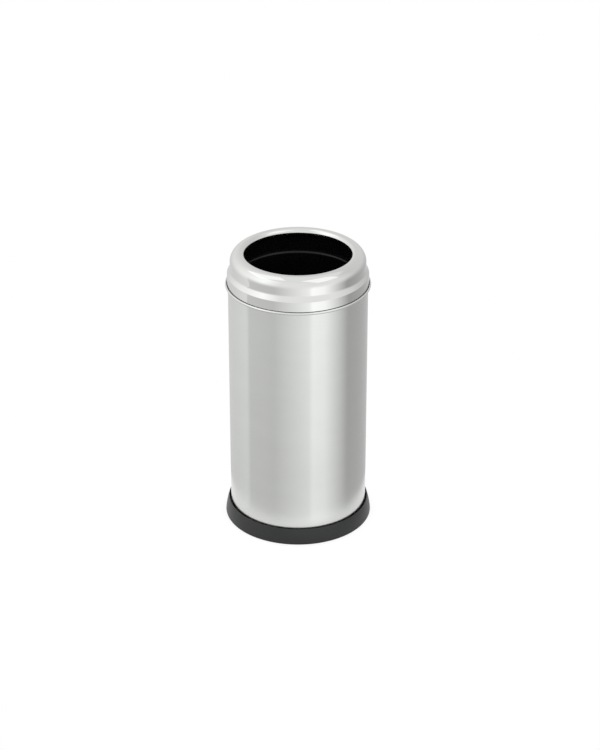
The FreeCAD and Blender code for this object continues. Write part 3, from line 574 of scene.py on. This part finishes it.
step_centre = (skirt_radius - step_round, step_low)
crease_centre = (dome_radius + crease_round, crease_high)
shoulder_centre = (dome_radius - shoulder_round, shoulder_high)
mouth_centre = (lid_mouth + mouth_roll, hem_high)
bead_centre = (skirt_radius - lid_sheet + bead_roll, bead_high)
cover_outline = np.concatenate([
    softened([
        (skirt_radius, bead_high), bend(step_centre, step_round, 0, step_turn),
        bend(crease_centre, crease_round, 180 + step_turn, 180), bend(shoulder_centre, shoulder_round, 0, 90),
        bend(mouth_centre, mouth_roll, 90, 180), (lid_mouth, hem_low, hem_edge),
        (lid_mouth + lid_sheet, hem_low, hem_edge), bend(mouth_centre, mouth_roll - lid_sheet, 180, 90),
        bend(shoulder_centre, shoulder_round - lid_sheet, 90, 0),
        bend(crease_centre, crease_round + lid_sheet, 180, 180 + step_turn),
        bend(step_centre, step_round - lid_sheet, step_turn, 0), (skirt_radius - lid_sheet, bead_high),
    ], cover_points)[:-1],
    bow(bead_centre, bead_roll, 180, 450, 37),
    bow(bead_centre, bead_roll - lid_sheet, 450, 180, 31),
])
lid_cover = skin("lid_cover_spun", turned(cover_outline, wide_steps))
polished, polished_nodes, polished_shader = new_finish("polished_stainless")
spin_lines = mottle(polished_nodes, "UV", (14, 3800, 1), 2.0)
polish_cloud = mottle(polished_nodes, "UV", (12, 30, 1))
polish_dark, polish_light = (0.600, 0.608, 0.594), (0.616, 0.624, 0.609)
shades(polished_nodes, polish_cloud, polished_shader.inputs["Base Color"], polish_dark, polish_light)
between(polished_nodes, spin_lines, polished_shader.inputs["Roughness"], 0.07, 0.11)
relief(polished_nodes, polished_shader, spin_lines, 0.0008 * mm, 0.4)
polished_shader.inputs["Metallic"].default_value = 1.0
lid_cover.data.materials.append(polished)
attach(lid_cover, "lid")
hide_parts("lid_cover")

# Studio: a round white stand that keeps a faint shadow and shows in the metal, in a white room with a few
# broad panels: a bright one to the right of the front, a dark one at the right side, and a pale one high at
# the left. Diffuse surfaces get an even light.
floor_radius, floor_tone, floor_glow = 0.2, 0.35, 0.76


def seen_rays(tree, *kinds):
    """Value of 1 for rays of any of the named kinds, and 0 for all others."""
    rays = tree.nodes.new("ShaderNodeLightPath")
    value = rays.outputs[kinds[0]]
    for kind in kinds[1:]:
        either = tree.nodes.new("ShaderNodeMath")
        either.operation = "MAXIMUM"
        tree.links.new(value, either.inputs[0])
        tree.links.new(rays.outputs[kind], either.inputs[1])
        value = either.outputs[0]
    return value


floor = skin("floor", turned(np.array([(floor_radius, 0), (0, 0)])))
floor_white, floor_nodes, floor_shader = new_finish("floor_white")
floor_shader.inputs["Base Color"].default_value = (floor_tone,) * 3 + (1,)
floor_shader.inputs["Roughness"].default_value = 1.0
floor_shader.inputs["Specular IOR Level"].default_value = 0.0
floor_shader.inputs["Emission Color"].default_value = (1, 1, 1, 1)
floor_seen = floor_nodes.nodes.new("ShaderNodeMath")
floor_seen.operation = "MULTIPLY"
floor_seen.inputs[1].default_value = floor_glow
floor_shown = seen_rays(floor_nodes, "Is Camera Ray", "Is Glossy Ray", "Is Transmission Ray")
floor_nodes.links.new(floor_shown, floor_seen.inputs[0])
floor_nodes.links.new(floor_seen.outputs[0], floor_shader.inputs["Emission Strength"])
floor.data.materials.append(floor_white)

low_panels = [(-90, 0.85), (-40, 0.8), (18, 1.35), (24, 1.6), (44, 1.5), (90, 0.5), (180, 0.7), (270, 1.1)]
high_panels = [(-90, 1.4), (-60, 1.6), (-30, 1.2), (60, 1.2), (110, 0.9), (180, 0.95), (270, 1.4)]
brightest, ground_level, top_level, even_level = 1.6, 0.6, 1.15, 0.85
ground_end, low_start, low_end, high_start, high_end, top_start = -0.65, -0.42, -0.4, 0.3, 0.72, 0.82
tent = bpy.data.worlds.new("tent")
bpy.context.scene.world = tent
tent.use_nodes = True
tent.cycles.sampling_method = "NONE"
tent_nodes = tent.node_tree
tent_light = tent_nodes.nodes["Background"]
tent_light.inputs["Strength"].default_value = brightest
tent_way = tent_nodes.nodes.new("ShaderNodeTexCoord")
tent_turn = tent_nodes.nodes.new("ShaderNodeTexGradient")
tent_turn.gradient_type = "RADIAL"
tent_nodes.links.new(tent_way.outputs["Generated"], tent_turn.inputs["Vector"])
tent_axes = tent_nodes.nodes.new("ShaderNodeSeparateXYZ")
tent_nodes.links.new(tent_way.outputs["Generated"], tent_axes.inputs["Vector"])


def panel_row(levels):
    """Row of panels round the bin: a level of light at each turn in degrees from the front to the right,
    blended from one panel to the next."""
    row = tent_nodes.nodes.new("ShaderNodeValToRGB")
    stops = row.color_ramp.elements
    stops.remove(stops[1])
    for number, (turn, level) in enumerate(levels):
        stop = stops[0] if number == 0 else stops.new(turn / 360 + 0.25)
        stop.position = turn / 360 + 0.25
        stop.color = (level / brightest,) * 3 + (1,)
    tent_nodes.links.new(tent_turn.outputs["Fac"], row.inputs["Fac"])
    return row.outputs["Color"]


def blended(start, finish):
    """Mix that goes over from its first colour to its second as the way up goes from start to finish."""
    rise = tent_nodes.nodes.new("ShaderNodeMapRange")
    rise.interpolation_type = "SMOOTHSTEP"
    rise.inputs["From Min"].default_value = start
    rise.inputs["From Max"].default_value = finish
    tent_nodes.links.new(tent_axes.outputs["Z"], rise.inputs["Value"])
    mix = tent_nodes.nodes.new("ShaderNodeMix")
    mix.data_type = "RGBA"
    tent_nodes.links.new(rise.outputs["Result"], mix.inputs["Factor"])
    return mix


low_walls = blended(ground_end, low_start)
low_walls.inputs["A"].default_value = (ground_level / brightest,) * 3 + (1,)
tent_nodes.links.new(panel_row(low_panels), low_walls.inputs["B"])
walls = blended(low_end, high_start)
tent_nodes.links.new(low_walls.outputs["Result"], walls.inputs["A"])
tent_nodes.links.new(panel_row(high_panels), walls.inputs["B"])
roof = blended(high_end, top_start)
tent_nodes.links.new(walls.outputs["Result"], roof.inputs["A"])
roof.inputs["B"].default_value = (top_level / brightest,) * 3 + (1,)
tent_nodes.links.new(roof.outputs["Result"], tent_light.inputs["Color"])
even_light = tent_nodes.nodes.new("ShaderNodeBackground")
even_light.inputs["Color"].default_value = (even_level,) * 3 + (1,)
white_backdrop = tent_nodes.nodes.new("ShaderNodeBackground")
white_backdrop.inputs["Color"].default_value = (1, 1, 1, 1)
tent_seen = tent_nodes.nodes.new("ShaderNodeMixShader")
mirrored = seen_rays(tent_nodes, "Is Glossy Ray", "Is Transmission Ray")
tent_nodes.links.new(mirrored, tent_seen.inputs["Fac"])
tent_nodes.links.new(even_light.outputs["Background"], tent_seen.inputs[1])
tent_nodes.links.new(tent_light.outputs["Background"], tent_seen.inputs[2])
tent_shown = tent_nodes.nodes.new("ShaderNodeMixShader")
tent_nodes.links.new(seen_rays(tent_nodes, "Is Camera Ray"), tent_shown.inputs["Fac"])
tent_nodes.links.new(tent_seen.outputs["Shader"], tent_shown.inputs[1])
tent_nodes.links.new(white_backdrop.outputs["Background"], tent_shown.inputs[2])
tent_nodes.links.new(tent_shown.outputs["Shader"], tent_nodes.nodes["World Output"].inputs["Surface"])

# Lamps: two broad square ones above the panels of the room, one to the left and one to the right. Each has a
# turn from the front to the right, a rise above the level, a side in metres and a power in watts.
lamp_distance, lamp_target = 2.2, (0, 0, 0.45)
lamps = [("lamp_left", -94, 60, 1.4, 2.3), ("lamp_right", 58, 58, 1.4, 2.3)]
for name, turn, rise, side, power in lamps:
    lamp = bpy.data.lights.new(name, "AREA")
    lamp.size = side
    lamp.energy = power
    stand = bpy.data.objects.new(name, lamp)
    turn, rise = np.radians(turn), np.radians(rise)
    aim = np.array([np.sin(turn) * np.cos(rise), -np.cos(turn) * np.cos(rise), np.sin(rise)])
    stand.location = aim * lamp_distance + lamp_target
    stand.rotation_euler = (np.pi / 2 - rise, 0, turn)
    bpy.context.scene.collection.objects.link(stand)

# Camera: 3.6 metres in front of the bin and 2.2 metres up, tilted down to it, with a long lens so that the
# drum's sides run almost parallel.
camera_place, camera_tilt, camera_lens = (0.0035, -3.6, 2.1642), 27.63, 107.26
eye = bpy.data.cameras.new("camera")
eye.lens = camera_lens
camera = bpy.data.objects.new("camera", eye)
camera.location = camera_place
camera.rotation_euler = (np.radians(90 - camera_tilt), 0, 0)
bpy.context.scene.collection.objects.link(camera)
bpy.context.scene.camera = camera
bpy.context.scene.view_settings.view_transform = "Standard"
